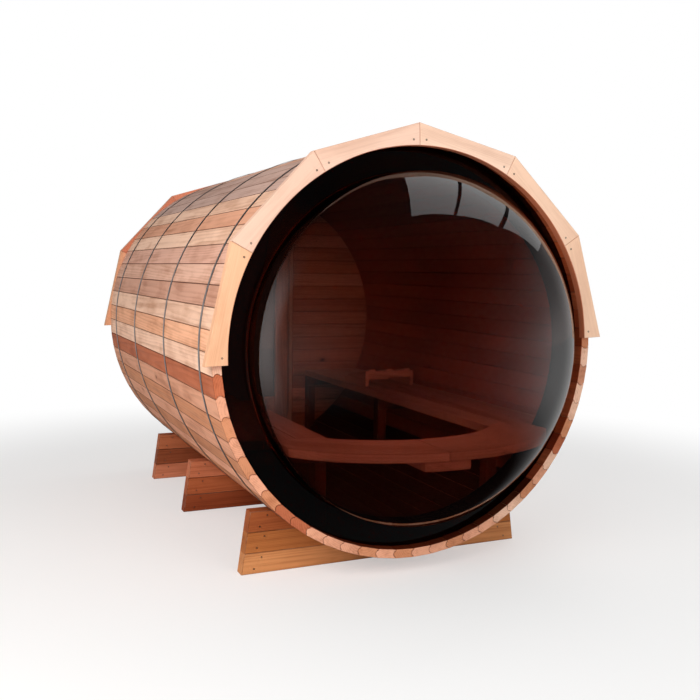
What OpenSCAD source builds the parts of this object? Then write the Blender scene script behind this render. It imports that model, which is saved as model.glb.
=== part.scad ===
// Barrel sauna with a bubble window.
// The barrel lies along Y with the window end towards -Y, +Z is up and X runs across the cabin.
// The origin is on the ground, under the middle of the bounding box. Sizes are in millimetres.

/* [Barrel] */
// Diameter across the flats of the staves
barrel_diameter = 1829; // [1650:1:2100]
// Length of the staves from rim to rim
barrel_length = 2438; // [2000:1:3600]
// Number of staves round the barrel
stave_count = 64; // [48:4:80]
// Thickness of a stave
stave_thickness = 40; // [34:1:50]
// Open line between neighbouring staves
stave_gap = 0.4; // [0.3:0.1:1]
// Chamfer along the long edges of a stave
stave_chamfer = 2; // [1:0.5:4]
// Radius of the bead on one edge of a stave
bead_radius = 14; // [11:1:16]
// How far the bead stands out into the next stave's cove
bead_height = 10; // [6:1:11]
// Depth of the grooves that hold the window and the end wall
groove_depth = 12; // [8:1:18]
// How far the barrel is turned about its axis on the cradles, in degrees
barrel_turn = 2.5; // [-5:0.1:5]
// Height of the barrel's underside above the ground
barrel_lift = 80; // [70:1:160]

/* [Fascia] */
// Boards in each half ring of fascia
fascia_boards = 6; // [4:1:10]
// Thickness of a fascia board
fascia_thickness = 38; // [19:1:50]
// How far the fascia flats stand out past the barrel
fascia_overhang = 6; // [0:1:20]
// How far the fascia reaches in past the staves' inner face
fascia_lip = 16; // [0:1:25]
// Open mitre line between fascia boards
mitre_gap = 1; // [0.5:0.1:3]

/* [Hoops] */
// Width of a steel hoop
hoop_width = 19; // [15:1:40]
// Thickness of a steel hoop
hoop_thickness = 2; // [1:0.5:4]
// Open space between the front hoop and the front cradle
front_hoop_gap = 69; // [5:1:120]
// Open space between the rear cradle and the rear hoop
rear_hoop_gap = 23; // [5:1:100]
// Distance from the front hoop to the next one
front_hoop_pitch = 665; // [400:1:800]
// Distance from the rear hoop to the one before it
rear_hoop_pitch = 618; // [400:1:700]

/* [Cradles] */
// Thickness of a cradle along the barrel
cradle_thickness = 64; // [38:1:90]
// Height of one cradle board
cradle_board_height = 93; // [85:1:110]
// Number of boards stacked in a cradle
cradle_boards = 3; // [2:1:4]
// Length of a cradle on the ground
cradle_length = 1416; // [1350:1:1700]
// How far the ends of a cradle lean in from foot to top
cradle_slant = 40; // [0:1:80]
// Distance from the front rim to the front cradle
front_cradle_inset = 266; // [180:1:400]
// Distance from the front rim to the middle cradle
middle_cradle_setback = 1322; // [900:1:1400]
// Distance from the rear cradle to the rear rim
rear_cradle_inset = 256; // [120:1:400]

/* [Bubble window] */
// Distance from the front rim to the window flange
window_recess = 50; // [20:1:70]
// Thickness of the acrylic
window_thickness = 6; // [4:1:10]
// Width of the flat flange inside the barrel
flange_width = 122; // [60:1:140]
// How far the bubble stands out of its flange
bubble_height = 563; // [430:1:640]
// How far the bubble's straight skirt stands out of its flange
skirt_depth = 137; // [60:1:180]
// Radius of the bend between the skirt and the cap
shoulder_radius = 16; // [10:1:30]
// Radius of the fillet between the flange and the bubble
bubble_fillet = 12; // [6:1:20]

/* [Entrance end] */
// Distance from the rear rim to the end wall
wall_recess = 30; // [24:1:60]
// Thickness of the end wall
wall_thickness = 38; // [28:1:50]
// Width of the opening in the end wall
doorway_width = 610; // [500:1:700]
// Height of the doorway's sill above the inside of the barrel
doorway_sill = 114; // [90:1:200]
// Drop from the inside of the barrel to the doorway's head
doorway_head = 114; // [90:1:200]
// Thickness of the lining boards in the doorway
jamb_thickness = 25; // [18:1:38]
// Width of the casing boards round the doorway
casing_width = 70; // [50:1:90]
// Thickness of the casing boards
casing_thickness = 19; // [12:1:24]
// Lining left showing inside the casing
casing_reveal = 6; // [3:1:10]

/* [Door] */
// Thickness of the door
door_thickness = 38; // [30:1:44]
// Open space round the door
door_clearance = 4; // [2:0.5:8]
// Width of the door's stiles and top rail
stile_width = 92; // [60:1:120]
// Height of the door's bottom rail
bottom_rail_height = 180; // [100:1:300]
// Thickness of the door's glass
pane_thickness = 6; // [4:1:10]
// Depth of the groove that holds the glass
pane_groove = 10; // [6:1:16]
// Length of a hinge's leaves along the door
hinge_height = 90; // [60:1:120]
// Width of one hinge leaf
hinge_leaf_width = 38; // [25:1:50]
// Thickness of a hinge leaf
hinge_leaf_thickness = 3; // [2:0.5:5]
// Radius of a hinge's knuckle
hinge_knuckle_radius = 5; // [4:0.5:8]
// Distance from the door's end to the nearest hinge
hinge_inset = 170; // [100:1:300]
// Length of the door handles
handle_length = 420; // [250:1:600]
// Diameter of the door handles
handle_diameter = 30; // [24:1:36]
// Height of the gap between a handle and the door
handle_gap = 14; // [10:1:18]
// Diameter of the posts that carry a handle
handle_post_diameter = 22; // [16:1:24]
// Distance from a handle's end to its post
handle_post_inset = 70; // [30:1:110]

/* [Benches] */
// Height of the bench tops above the inside of the barrel
bench_height = 508; // [460:1:560]
// Thickness of the bench boards
bench_thickness = 38; // [28:1:45]
// Clear width between the side benches
aisle_width = 804; // [650:1:900]
// Boards in each side bench
bench_boards = 3; // [2:1:5]
// Open line between the boards of a side bench
bench_board_gap = 8; // [4:1:15]
// How far the window bench reaches out past the front rim
window_bench_reach = 375; // [300:1:400]
// Depth of the window bench from front to back
window_bench_depth = 272; // [200:1:300]
// Radius of the window bench's front edge
window_bench_radius = 890; // [800:1:1100]
// Width of the cleat under the window bench
cleat_width = 200; // [100:1:260]
// How far the cleat lies from the middle of the bench
cleat_offset = -60; // [-150:1:150]
// Width of a bearer under the benches
bearer_width = 60; // [38:1:70]
// Height of a bearer under the benches
bearer_height = 64; // [38:1:90]
// Width of a leg under the benches
leg_width = 55; // [38:1:70]

/* [Headrest] */
// Distance from the front rim to the high end of the headrest
headrest_setback = 1440; // [900:1:1700]
// Length of the headrest along the bench
headrest_length = 320; // [250:1:400]
// Width of the headrest across the bench
headrest_width = 330; // [250:1:340]
// Height of the headrest's frame at its high end
headrest_height = 90; // [70:1:130]
// Height of the headrest's frame at its low end
headrest_foot = 30; // [20:1:50]
// Thickness of the headrest's cheeks and bars
headrest_bar = 24; // [18:1:30]
// Height of the bar across the headrest's high end
headrest_bar_height = 38; // [25:1:45]
// Width of a headrest slat
headrest_slat_width = 43; // [30:1:60]
// Thickness of a headrest slat
headrest_slat_thickness = 14; // [10:1:20]
// Number of headrest slats
headrest_slats = 3; // [2:1:4]

/* [Fits] */
// Clearance between curved faces that meet
curve_clearance = 0.4; // [0.3:0.1:0.8]
// Clearance of a panel in its groove
groove_clearance = 0.4; // [0.3:0.1:0.8]
// Open line between flat boards that lie side by side
board_gap = 0.4; // [0.3:0.1:0.8]
// Room between the window bench and the bubble
bubble_room = 4; // [2:0.5:10]

/* [Hidden] */
$fn = 96;

// Colours of the timber, the acrylic and the steel
stave_colour = [0.85, 0.65, 0.49];
fascia_colour = [0.95, 0.80, 0.65];
cradle_colour = [0.64, 0.38, 0.22];
wall_colour = [0.80, 0.58, 0.42];
bench_colour = [0.72, 0.45, 0.32];
acrylic_colour = [0.20, 0.09, 0.06, 0.55];
steel_colour = [0.33, 0.31, 0.31];

// Barrel: flat and corner radii, and the angle that one stave takes up
outer_radius = barrel_diameter / 2;
inner_radius = outer_radius - stave_thickness;
stave_angle = 360 / stave_count;
half_stave = stave_angle / 2;
corner_radius = outer_radius / cos(half_stave);
groove_radius = inner_radius + groove_depth;
axis_z = barrel_lift + outer_radius;
inside_z = axis_z - inner_radius;

// Bubble: a spherical cap on a straight skirt
bubble_base = inner_radius - flange_width;
cap_height = bubble_height - skirt_depth;
bubble_radius = (pow(bubble_base, 2) + pow(cap_height, 2)) / (2 * cap_height);
bubble_centre = window_recess + bubble_radius - bubble_height;

// The bounding box runs from the top of the bubble to the rear fascia
front_reach = bubble_height - window_recess;
front_y = (front_reach - barrel_length - fascia_thickness) / 2;

// Distances from the front rim
window_back = window_recess + window_thickness;
wall_outside = barrel_length - wall_recess;
wall_inside = wall_outside - wall_thickness;
rear_cradle_setback = barrel_length - rear_cradle_inset - cradle_thickness;
front_hoop_setback = front_cradle_inset - front_hoop_gap - hoop_width / 2;
rear_hoop_setback = barrel_length - rear_cradle_inset + rear_hoop_gap + hoop_width / 2;

// Fascia: half of a regular polygon drawn round the barrel
fascia_angle = 180 / fascia_boards;
fascia_flat = outer_radius + fascia_overhang;
fascia_inner = inner_radius - fascia_lip;

// Doorway, measured from the barrel's axis
doorway_low = doorway_sill - inner_radius;
doorway_high = inner_radius - doorway_head;
clear_half = doorway_width / 2 - jamb_thickness;
clear_low = doorway_low + jamb_thickness;
clear_high = doorway_high - jamb_thickness;
door_half = clear_half - door_clearance;
door_low = clear_low + door_clearance;
door_high = clear_high - door_clearance;
door_face = wall_outside + casing_thickness;
door_back = door_face - door_thickness;
pane_half = door_half - stile_width;
pane_low = door_low + bottom_rail_height;
pane_high = door_high - stile_width;
hinge_x = (clear_half + door_half) / 2;

// Benches, with their levels measured from the barrel's axis
bench_top = bench_height - inner_radius;
bench_under = bench_top - bench_thickness;
bearer_under = bench_under - bearer_height;
cabin_radius = inner_radius - curve_clearance;
bench_edge = sqrt(pow(cabin_radius, 2) - pow(bench_top, 2));
bench_joint = window_back + curve_clearance + bearer_width / 2;
bench_end = wall_inside - board_gap;
bench_board = (bench_edge - aisle_width / 2 - (bench_boards - 1) * bench_board_gap) / bench_boards;
bench_curve_centre = window_bench_radius - window_bench_reach;
bubble_inside = bubble_radius - window_thickness;
bubble_at_bench = sqrt(pow(bubble_inside, 2) - pow(bench_under, 2)) - bubble_room;
bubble_at_cleat = sqrt(pow(bubble_inside, 2) - pow(bench_under - bench_thickness, 2)) - bubble_room;
skirt_at_bench = sqrt(pow(bubble_base - window_thickness, 2) - pow(bench_under, 2)) - bubble_room;
bearer_places = [bench_joint, (bench_joint + bench_end) / 2, bench_end - bearer_width / 2];

// Headrest on the right bench
headrest_left = (aisle_width / 2 + bench_edge - headrest_width) / 2;
headrest_slope = atan((headrest_height - headrest_foot) / headrest_length);
headrest_pitch = (headrest_width - headrest_slat_width - 2 * headrest_bar) / (headrest_slats - 1);

// Runs a section along the barrel between two distances from the front rim.
// The section is drawn as seen from the window end, about the barrel's axis.
module along_barrel(from, to) {
    translate([0, front_y + to, axis_z])
        rotate([90, 0, 0])
            linear_extrude(to - from)
                children();
}

// Lays a plan, drawn from the front rim backwards, between two levels about the barrel's axis
module at_level(low, high) {
    translate([0, front_y, axis_z + low])
        linear_extrude(high - low)
            children();
}

// Rectangle between two corners
module between(low, high) {
    translate(low)
        square(high - low);
}

// Half width of a stave at a given radius, less its share of the open line
function stave_half(radius) = radius * tan(half_stave) - stave_gap / 2;

// Places the circle that shapes a bead, on the clockwise edge of the stave at three o'clock
module bead_place() {
    middle = inner_radius + stave_thickness / 2;
    translate([middle, bead_radius - bead_height - stave_half(middle)])
        children();
}

// Section of one stave: flat faces, chamfered edges, a bead on one edge and a cove on the other
module stave_section() {
    stations = [
        [inner_radius, stave_half(inner_radius) - stave_chamfer],
        [inner_radius + stave_chamfer, stave_half(inner_radius + stave_chamfer)],
        [outer_radius - stave_chamfer, stave_half(outer_radius - stave_chamfer)],
        [outer_radius, stave_half(outer_radius) - stave_chamfer]
    ];
    mirrored = [for (i = [len(stations) - 1:-1:0]) [stations[i][0], -stations[i][1]]];
    difference() {
        union() {
            polygon(concat(stations, mirrored));
            bead_place()
                circle(bead_radius);
        }
        rotate(stave_angle)
            bead_place()
                circle(bead_radius + stave_gap);
    }
}

// One quarter of the barrel, counted anticlockwise from the right as seen from the window end
module stave_quarter(quarter) {
    first = round((quarter - 0.5) * stave_count / 4);
    last = round((quarter + 0.5) * stave_count / 4) - 1;
    color(stave_colour)
        for (i = [first:last])
            difference() {
                along_barrel(0, barrel_length)
                    rotate(barrel_turn + i * stave_angle)
                        stave_section();
                along_barrel(window_recess - groove_clearance, window_back + groove_clearance)
                    circle(groove_radius);
                along_barrel(wall_inside - groove_clearance, wall_outside + groove_clearance)
                    circle(groove_radius);
            }
}

module right_staves() {
    stave_quarter(0);
}

module roof_staves() {
    stave_quarter(1);
}

module left_staves() {
    stave_quarter(2);
}

module floor_staves() {
    stave_quarter(3);
}

// Half ring of mitred boards, straight outside and cut to a circle inside
module fascia_ring(from) {
    half = fascia_angle / 2;
    root = fascia_inner / 2;
    root_half = root * tan(half) - mitre_gap / 2;
    flat_half = fascia_flat * tan(half) - mitre_gap / 2;
    color(fascia_colour)
        along_barrel(from, from + fascia_thickness)
            for (i = [0:fascia_boards - 1])
                rotate(barrel_turn + (i + 0.5) * fascia_angle)
                    difference() {
                        polygon([
                            [root, -root_half], [fascia_flat, -flat_half],
                            [fascia_flat, flat_half], [root, root_half]
                        ]);
                        circle(fascia_inner);
                    }
}

module front_fascia() {
    fascia_ring(-fascia_thickness);
}

module rear_fascia() {
    fascia_ring(barrel_length);
}

// Steel hoop with its middle at a distance from the front rim
module hoop(setback) {
    color(steel_colour)
        along_barrel(setback - hoop_width / 2, setback + hoop_width / 2)
            difference() {
                circle(corner_radius + curve_clearance + hoop_thickness);
                circle(corner_radius + curve_clearance);
            }
}

module hoop_front() {
    hoop(front_hoop_setback);
}

module hoop_second() {
    hoop(front_hoop_setback + front_hoop_pitch);
}

module hoop_third() {
    hoop(rear_hoop_setback - rear_hoop_pitch);
}

module hoop_rear() {
    hoop(rear_hoop_setback);
}

// Cradle of stacked boards with leaning ends, hollowed to carry the barrel
module cradle(setback) {
    pitch = cradle_board_height;
    lean = cradle_slant / (cradle_boards * pitch);
    color(cradle_colour)
        along_barrel(setback, setback + cradle_thickness)
            difference() {
                for (i = [0:cradle_boards - 1]) {
                    low = i * pitch;
                    high = low + pitch - (i < cradle_boards - 1 ? board_gap : 0);
                    low_half = cradle_length / 2 - low * lean;
                    high_half = cradle_length / 2 - high * lean;
                    translate([0, -axis_z])
                        polygon([
                            [-low_half, low], [low_half, low], [high_half, high], [-high_half, high]
                        ]);
                }
                circle(corner_radius + curve_clearance);
            }
}

module front_cradle() {
    cradle(front_cradle_inset);
}

module middle_cradle() {
    cradle(middle_cradle_setback);
}

module rear_cradle() {
    cradle(rear_cradle_setback);
}

// Half section of the bubble's skirt and cap, moved in by an inset. The second coordinate
// points out of the barrel.
module bubble_outline(inset) {
    centre = [0, -bubble_centre];
    bend_reach = bubble_radius - shoulder_radius;
    bend_x = bubble_base - shoulder_radius;
    bend = [bend_x, centre[1] + sqrt(pow(bend_reach, 2) - pow(bend_x, 2))];
    touch = centre + (bend - centre) * (bubble_radius - inset) / bend_reach;
    between([0, -window_back - inset], [bubble_base - inset, bend[1]]);
    between([0, -window_back], [bend_x, touch[1]]);
    translate(bend)
        circle(shoulder_radius - inset);
    intersection() {
        translate(centre)
            circle(bubble_radius - inset);
        between([0, bend[1]], [touch[0], bubble_height]);
    }
}

// Half section of the bubble window with its flange
module bubble_section() {
    flange_front = -window_recess;
    overlap = window_thickness / 2;
    fillet_corner = [bubble_base + bubble_fillet, flange_front + bubble_fillet];
    difference() {
        union() {
            bubble_outline(0);
            between([0, -window_back], [groove_radius - groove_clearance, flange_front]);
            difference() {
                between([bubble_base - overlap, flange_front - overlap], fillet_corner);
                translate(fillet_corner)
                    circle(bubble_fillet);
            }
        }
        bubble_outline(window_thickness);
    }
}

module bubble_window() {
    color(acrylic_colour)
        translate([0, front_y, axis_z])
            rotate([90, 0, 0])
                rotate_extrude($fn = 192)
                    bubble_section();
}

// End wall in four panels round the doorway
module end_wall() {
    edge = groove_radius - groove_clearance;
    half = doorway_width / 2;
    color(wall_colour)
        along_barrel(wall_inside, wall_outside)
            intersection() {
                circle(edge);
                union() {
                    between([-edge, -edge], [-half, edge]);
                    between([half, -edge], [edge, edge]);
                    between([board_gap - half, doorway_high], [half - board_gap, edge]);
                    between([board_gap - half, -edge], [half - board_gap, doorway_low]);
                }
            }
}

// Lining of the doorway: two jambs, a head and a sill
module door_jambs() {
    half = doorway_width / 2 - board_gap;
    low = doorway_low + board_gap;
    high = doorway_high - board_gap;
    color(fascia_colour)
        along_barrel(wall_inside, wall_outside)
            union() {
                for (side = [0, 1])
                    mirror([side, 0])
                        between([clear_half, low], [half, high]);
                for (span = [[low, clear_low], [clear_high, high]])
                    between([board_gap - clear_half, span[0]], [clear_half - board_gap, span[1]]);
            }
}

// Casing on the outside of the end wall: two legs and a head, trimmed to the barrel
module door_casing() {
    inside = clear_half + casing_reveal;
    outside = inside + casing_width;
    head = clear_high + casing_reveal;
    low = clear_low - casing_reveal;
    color(fascia_colour)
        along_barrel(wall_outside, wall_outside + casing_thickness)
            intersection() {
                circle(fascia_inner - curve_clearance);
                union() {
                    for (side = [0, 1])
                        mirror([side, 0])
                            between([inside, low - casing_width], [outside, head - board_gap]);
                    between([-outside, head], [outside, head + casing_width]);
                    between([board_gap - inside, low - casing_width], [inside - board_gap, low]);
                }
            }
}

// Door of two stiles and two rails, grooved for its pane
module door_leaf() {
    groove_front = (door_back + door_face + pane_thickness) / 2 + groove_clearance;
    groove_back = (door_back + door_face - pane_thickness) / 2 - groove_clearance;
    color(wall_colour)
        difference() {
            along_barrel(door_back, door_face)
                union() {
                    for (side = [0, 1])
                        mirror([side, 0])
                            between([pane_half, door_low], [door_half, door_high]);
                    for (span = [[door_low, pane_low], [pane_high, door_high]])
                        between([board_gap - pane_half, span[0]], [pane_half - board_gap, span[1]]);
                }
            along_barrel(groove_back, groove_front)
                between(
                    [-pane_half - pane_groove, pane_low - pane_groove],
                    [pane_half + pane_groove, pane_high + pane_groove]
                );
        }
}

module door_pane() {
    lap = pane_groove - groove_clearance;
    middle = (door_back + door_face) / 2;
    color(acrylic_colour)
        along_barrel(middle - pane_thickness / 2, middle + pane_thickness / 2)
            between([-pane_half - lap, pane_low - lap], [pane_half + lap, pane_high + lap]);
}

// Hinges on the outside: two leaves and a knuckle over the open line beside the door
module door_hinges() {
    inside = hinge_x - hinge_leaf_width;
    outside = hinge_x + hinge_leaf_width;
    color(steel_colour)
        for (low = [door_low + hinge_inset, door_high - hinge_inset - hinge_height]) {
            along_barrel(door_face, door_face + hinge_leaf_thickness)
                between([inside, low], [outside, low + hinge_height]);
            translate([hinge_x, front_y + door_face + hinge_knuckle_radius, axis_z + low])
                cylinder(h = hinge_height, r = hinge_knuckle_radius);
        }
}

// Round pull handle on two posts, on the outside and on the inside of the door
module door_handles() {
    handle_x = stile_width / 2 - door_half;
    middle = (door_low + door_high) / 2;
    radius = handle_diameter / 2;
    color(fascia_colour)
        for (place = [[door_face, 1], [door_back, -1]])
            translate([handle_x, front_y + place[0], axis_z + middle]) {
                translate([0, place[1] * (handle_gap + radius), -handle_length / 2])
                    cylinder(h = handle_length, r = radius);
                for (end = [-1, 1])
                    translate([0, 0, end * (handle_length / 2 - handle_post_inset)])
                        rotate([-90 * place[1], 0, 0])
                            cylinder(h = handle_gap + radius, d = handle_post_diameter);
            }
}

// Side bench of long boards, with its outer edge cut to the barrel
module side_bench(side) {
    color(bench_colour)
        mirror([side, 0, 0])
            intersection() {
                for (i = [0:bench_boards - 1]) {
                    inside = aisle_width / 2 + i * (bench_board + bench_board_gap);
                    outside = inside + bench_board;
                    at_level(bench_under, bench_top)
                        between([inside, bench_joint + board_gap / 2], [outside, bench_end]);
                }
                along_barrel(0, barrel_length)
                    circle(cabin_radius);
            }
}

module left_bench() {
    side_bench(1);
}

module right_bench() {
    side_bench(0);
}

// Window bench: a wide curve that follows the bubble and meets the side benches
module window_bench() {
    half = aisle_width / 2;
    span = skirt_at_bench;
    color(bench_colour)
        at_level(bench_under, bench_top)
            difference() {
                intersection() {
                    translate([0, bench_curve_centre])
                        circle(window_bench_radius);
                    translate([0, bubble_centre])
                        circle(bubble_at_bench);
                    between([-span, -window_bench_radius], [span, bench_joint - board_gap / 2]);
                }
                intersection() {
                    translate([0, bench_curve_centre])
                        circle(window_bench_radius - window_bench_depth);
                    between([-half, -window_bench_radius], [half, window_bench_radius]);
                }
            }
}

// Cleat across the seam under the window bench
module window_bench_cleat() {
    color(bench_colour)
        at_level(bench_under - bench_thickness, bench_under)
            intersection() {
                difference() {
                    translate([0, bench_curve_centre])
                        circle(window_bench_radius - bubble_room);
                    translate([0, bench_curve_centre])
                        circle(window_bench_radius - window_bench_depth + bubble_room);
                }
                translate([0, bubble_centre])
                    circle(bubble_at_cleat);
                between(
                    [cleat_offset - cleat_width / 2, -window_bench_reach],
                    [cleat_offset + cleat_width / 2, window_bench_depth]
                );
            }
}

// Bearers under the benches, from the aisle to the barrel
module bench_bearers() {
    color(bench_colour)
        intersection() {
            for (side = [0, 1], place = bearer_places)
                mirror([side, 0, 0])
                    at_level(bearer_under, bench_under)
                        between(
                            [aisle_width / 2, place - bearer_width / 2],
                            [outer_radius, place + bearer_width / 2]
                        );
            along_barrel(0, barrel_length)
                circle(cabin_radius);
        }
}

// Legs from the bearers to the barrel, flush with the aisle side of the benches
module bench_legs() {
    color(bench_colour)
        intersection() {
            for (side = [0, 1], place = bearer_places)
                mirror([side, 0, 0])
                    at_level(-outer_radius, bearer_under)
                        between(
                            [aisle_width / 2, place - bearer_width / 2],
                            [aisle_width / 2 + leg_width, place + bearer_width / 2]
                        );
            along_barrel(0, barrel_length)
                circle(cabin_radius);
        }
}

// Side view of the headrest's wedge, from its high end backwards
module headrest_wedge() {
    polygon([
        [0, 0], [headrest_length, 0], [headrest_length, headrest_foot], [0, headrest_height]
    ]);
}

// Stands a side view of the headrest across the bench, from a distance beside its left end
module headrest_across(from, to) {
    translate([headrest_left + from, front_y + headrest_setback, axis_z + bench_top])
        rotate([90, 0, 90])
            linear_extrude(to - from)
                children();
}

// Frame of the headrest: two cheeks, and a bar across each end
module headrest_frame() {
    bar_low = headrest_height - headrest_bar_height;
    color(bench_colour)
        union() {
            for (x = [0, headrest_width - headrest_bar])
                headrest_across(x, x + headrest_bar)
                    headrest_wedge();
            headrest_across(0, headrest_width)
                intersection() {
                    headrest_wedge();
                    union() {
                        between([0, bar_low], [headrest_bar, headrest_height]);
                        between([headrest_length - headrest_bar, 0], [headrest_length, headrest_height]);
                    }
                }
        }
}

// Slats down the slope of the headrest
module headrest_slats() {
    length = headrest_length / cos(headrest_slope);
    color(fascia_colour)
        for (i = [0:headrest_slats - 1]) {
            from = headrest_bar + i * headrest_pitch;
            headrest_across(from, from + headrest_slat_width)
                translate([0, headrest_height])
                    rotate(-headrest_slope)
                        square([length, headrest_slat_thickness]);
        }
}

floor_staves();
right_staves();
roof_staves();
left_staves();
front_fascia();
rear_fascia();
hoop_front();
hoop_second();
hoop_third();
hoop_rear();
front_cradle();
middle_cradle();
rear_cradle();
bubble_window();
end_wall();
door_jambs();
door_casing();
door_leaf();
door_pane();
door_hinges();
door_handles();
left_bench();
right_bench();
window_bench();
window_bench_cleat();
bench_bearers();
bench_legs();
headrest_frame();
headrest_slats();
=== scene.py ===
import math
import random
import bpy
from mathutils import Matrix, Vector


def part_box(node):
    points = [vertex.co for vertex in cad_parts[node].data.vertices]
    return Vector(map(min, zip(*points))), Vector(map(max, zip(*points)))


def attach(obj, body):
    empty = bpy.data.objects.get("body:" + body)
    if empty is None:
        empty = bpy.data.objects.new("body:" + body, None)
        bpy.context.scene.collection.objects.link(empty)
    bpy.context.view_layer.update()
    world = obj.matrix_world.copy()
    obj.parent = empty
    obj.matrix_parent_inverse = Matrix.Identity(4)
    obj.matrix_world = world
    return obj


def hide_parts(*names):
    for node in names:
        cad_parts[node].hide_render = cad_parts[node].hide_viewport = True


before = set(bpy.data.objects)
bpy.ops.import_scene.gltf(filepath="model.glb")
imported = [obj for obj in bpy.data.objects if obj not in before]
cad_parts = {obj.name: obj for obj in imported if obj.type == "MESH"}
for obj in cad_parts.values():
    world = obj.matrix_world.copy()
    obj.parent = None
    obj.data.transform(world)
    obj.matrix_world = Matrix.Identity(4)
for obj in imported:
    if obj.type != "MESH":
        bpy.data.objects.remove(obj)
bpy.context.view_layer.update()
scene = bpy.context.scene
scene.view_settings.view_transform = "Standard"
print("frame loaded,", len(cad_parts), "nodes")

# places taken from the frame
hoopLow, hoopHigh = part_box("hoop_front")
rimLow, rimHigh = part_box("roof_staves")
axisZ = (hoopLow.z + hoopHigh.z) / 2
frontY = rimLow.y
barrelLength = rimHigh.y - rimLow.y
fitGap = 0.0004  # between boards that meet
dice = random.Random(64)

axisX = Vector((1, 0, 0))
axisY = Vector((0, 1, 0))
upright = Vector((0, 0, 1))
levelGrain = (axisX, upright, axisY)  # along the grain, across the face, into the board
standingGrain = (upright, axisX, axisY)


def fromRim(x, distance, z):  # distance back from the front rim, height about the barrel's axis
    return Vector((x, frontY + distance, axisZ + z))


middlePlace = fromRim(0, 0, 0)
axisPlace = (middlePlace, axisX, upright, axisY)  # outlines across the barrel
planPlace = (middlePlace, axisX, axisY, upright)  # outlines seen from above


def between(first, last, steps):
    return [first + (last - first) * k / steps for k in range(steps + 1)]


def arc(radius, first, last, steps):
    return [(radius * math.cos(a), radius * math.sin(a)) for a in between(first, last, steps)]


def circle(radius, sides):
    return arc(radius, 0, math.tau, sides)[:-1]


def chord(radius, level):  # half width of a circle at a level
    return math.sqrt(max(radius ** 2 - level ** 2, 0))


def spoke(angle):  # the ways outward and around at an angle about the barrel's axis
    return Vector((math.cos(angle), 0, math.sin(angle))), Vector((-math.sin(angle), 0, math.cos(angle)))


def rectangle(left, low, right, high):
    return [(left, low), (right, low), (right, high), (left, high)]


def flipped(outline):
    return [(-x, z) for x, z in outline]


def bothSides(half):  # half an outline and its mirror image
    return half + flipped(half[::-1])


def ink(red, green, blue):  # a colour as seen, 0 to 255
    parts = [c / 255 for c in (red, green, blue)]
    return tuple(c / 12.92 if c < 0.04 else ((c + 0.055) / 1.055) ** 2.4 for c in parts)


def tint(tone, spread=0.05):  # one board's own shade of a tone
    level = 1 + dice.uniform(-spread, spread)
    return tuple(c * level for c in tone)


# node helpers; those without a tree take it from the sockets they are given
def addNode(tree, kind, inputs=None, **settings):
    node = tree.nodes.new("ShaderNode" + kind)
    for key, value in settings.items():
        setattr(node, key, value)
    for key, value in (inputs or {}).items():
        if isinstance(value, bpy.types.NodeSocket):
            tree.links.new(value, node.inputs[key])
        else:
            node.inputs[key].default_value = value
    return node


def feed(source, target):
    target.id_data.links.new(source, target)


def treeOf(*values):
    return next(value.id_data for value in values if isinstance(value, bpy.types.NodeSocket))


def maths(operation, first, second=0.0):
    return addNode(treeOf(first, second), "Math", {0: first, 1: second}, operation=operation).outputs[0]


def times(first, second):
    return maths("MULTIPLY", first, second)


def plus(first, second):
    return maths("ADD", first, second)


def vectorMaths(operation, first, second=(0, 0, 0)):
    node = addNode(first.id_data, "VectorMath", {0: first, 1: second}, operation=operation)
    return node.outputs["Value" if operation == "LENGTH" else "Vector"]


def smooth(value, low, high, toLow=0.0, toHigh=1.0):
    node = addNode(value.id_data, "MapRange", {
        "Value": value, "From Min": low, "From Max": high, "To Min": toLow, "To Max": toHigh},
        interpolation_type="SMOOTHSTEP")
    return node.outputs["Result"]


def mixValue(factor, first, second):
    return addNode(factor.id_data, "Mix", {0: factor, 2: first, 3: second}, data_type="FLOAT").outputs[0]


def mixColour(factor, first, second, blend="MIX"):
    node = addNode(treeOf(factor, first), "Mix", {0: factor, 6: first, 7: second},
                   data_type="RGBA", blend_type=blend)
    return node.outputs[2]


def deepened(colour, *amounts):
    return mixColour(1.0, colour, (*amounts, 1), "MULTIPLY")


def noise(vector, shuffle, detail=2.0, scale=1.0):
    return addNode(vector.id_data, "TexNoise", {
        "Vector": vector, "W": shuffle, "Scale": scale, "Detail": detail}, noise_dimensions="4D").outputs


def partsOf(vector):
    return addNode(vector.id_data, "SeparateXYZ", {0: vector}).outputs


def newGroup(name, inputs, outputs):
    tree = bpy.data.node_groups.new(name, "ShaderNodeTree")
    for side, sockets in (("INPUT", inputs), ("OUTPUT", outputs)):
        for socket, kind in sockets.items():
            tree.interface.new_socket(name=socket, in_out=side, socket_type="NodeSocket" + kind)
    return tree, tree.nodes.new("NodeGroupInput").outputs, tree.nodes.new("NodeGroupOutput").inputs


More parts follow.
